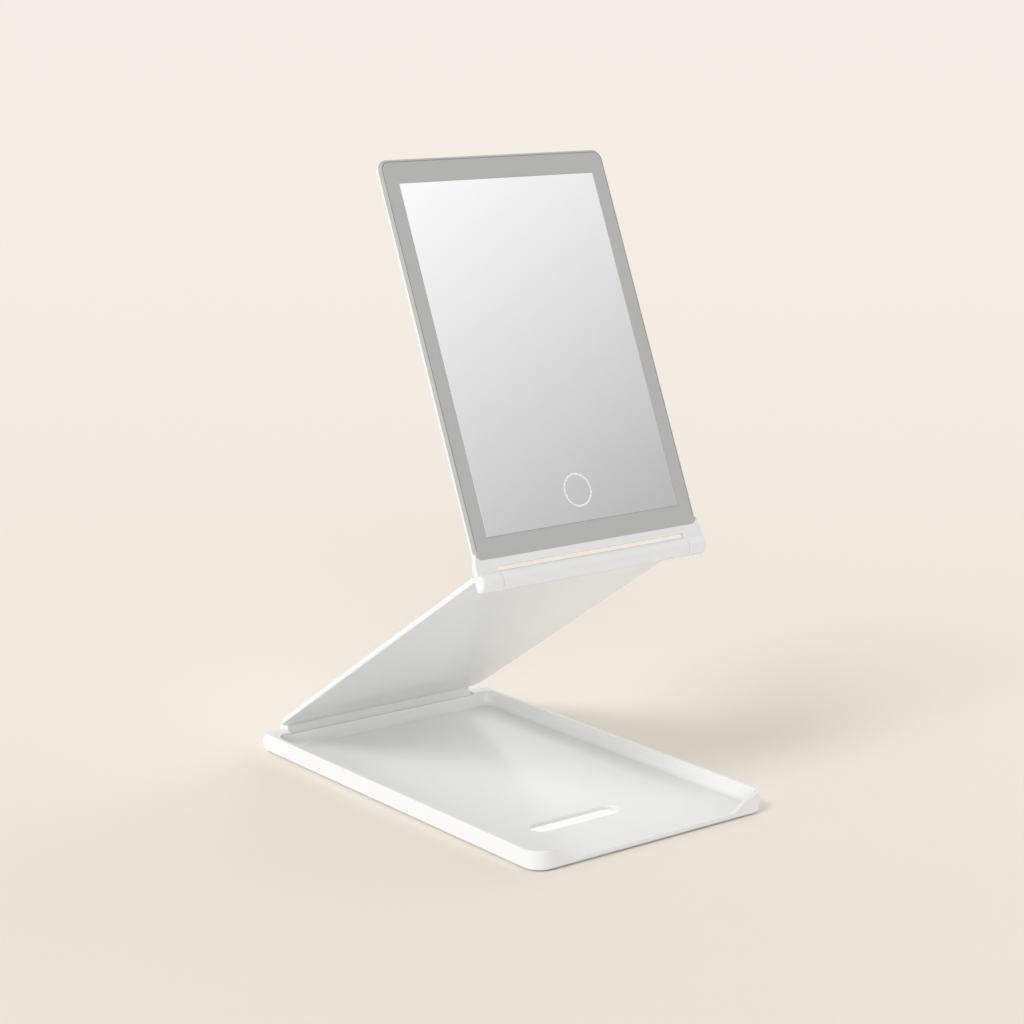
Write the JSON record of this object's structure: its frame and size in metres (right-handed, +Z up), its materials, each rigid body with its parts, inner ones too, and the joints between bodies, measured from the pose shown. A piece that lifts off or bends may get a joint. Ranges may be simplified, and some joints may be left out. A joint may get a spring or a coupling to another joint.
{
  "type": "trifold vanity mirror",
  "caption": "Folding vanity mirror: shallow tray base, hinged lid and tilting mirror head with a lit border and a round touch key.",
  "frame": {"origin": "on the table, under the centre of the bounding box of the standing mirror", "axes": "+X across the object to its left when it is faced from the front, +Y to the hinged rear edge of the tray, +Z up"},
  "size_m": [0.135, 0.218, 0.2925],
  "materials": {
    "white_shell": "glossy white moulded plastic",
    "opal_window": "light grey frosted light window",
    "mirror_glass": "silvered glass",
    "ring_ink": "white filled line",
    "copper": "thin copper foil",
    "black_tape": "double-sided tape",
    "chassis_plastic": "white reflector plastic",
    "circuit_board": "green solder mask",
    "chip_black": "moulded chip packages",
    "steel": "plain steel",
    "socket_black": "black insulator",
    "clear_plastic": "clear light pipe",
    "pouch_foil": "aluminium laminate pouch",
    "red_lead": "red insulation",
    "black_lead": "black insulation",
    "amber_film": "amber film",
    "bronze": "bearing bronze",
    "foot_rubber": "grey silicone rubber",
    "strip_board": "white light strip board",
    "led_phosphor": "white light-emitting diodes"
  },
  "bodies": {
    "base": {"base_tray": "white_shell", "lower_hinge_pin_left": "steel", "lower_hinge_pin_right": "steel", "rubber_foot_front_left": "foot_rubber", "rubber_foot_front_right": "foot_rubber", "rubber_foot_rear_left": "foot_rubber", "rubber_foot_rear_right": "foot_rubber"},
    "lid": {"lid_bonding_tape": "black_tape", "lid_inner_panel": "white_shell", "lid_outer_cover": "white_shell", "lid_stiffener_plate": "steel", "lower_friction_sleeve_left": "bronze", "lower_friction_sleeve_right": "bronze", "upper_friction_sleeve_left": "bronze", "upper_friction_sleeve_right": "bronze"},
    "head": {"battery_lead_negative": "black_lead", "battery_lead_positive": "red_lead", "battery_mounting_tape": "black_tape", "battery_pouch": "pouch_foil", "board_parts": "chip_black", "board_screws": "steel", "charge_light_pipe": "clear_plastic", "chassis_screws": "steel", "head_chassis": "chassis_plastic", "head_rear_housing": "white_shell", "led_chips_bottom": "led_phosphor", "led_chips_left": "led_phosphor", "led_chips_right": "led_phosphor", "led_chips_top": "led_phosphor", "led_flex_cable": "amber_film", "led_strip_bottom": "strip_board", "led_strip_left": "strip_board", "led_strip_right": "strip_board", "led_strip_top": "strip_board", "light_window_frame": "opal_window", "main_circuit_board": "circuit_board", "mirror_mounting_tape": "black_tape", "mirror_pane": "mirror_glass", "protection_board": "circuit_board", "protection_parts": "chip_black", "touch_electrode": "copper", "touch_flex_cable": "amber_film", "touch_key_ring": "ring_ink", "upper_hinge_pin_left": "steel", "upper_hinge_pin_right": "steel", "usb_c_shell": "steel", "usb_c_tongue": "socket_black"}
  },
  "joints": [
    {"name": "base_fold", "type": "hinge", "parent": "base", "child": "lid", "pos_m": [0, 0.10395, 0.005], "axis": [-1, 0, 0], "range_deg": [-33.2, 56.8]},
    {"name": "mirror_tilt", "type": "hinge", "parent": "lid", "child": "head", "pos_m": [0, -0.06365, 0.11724], "axis": [-1, 0, 0], "range_deg": [-30, 10]}
  ]
}
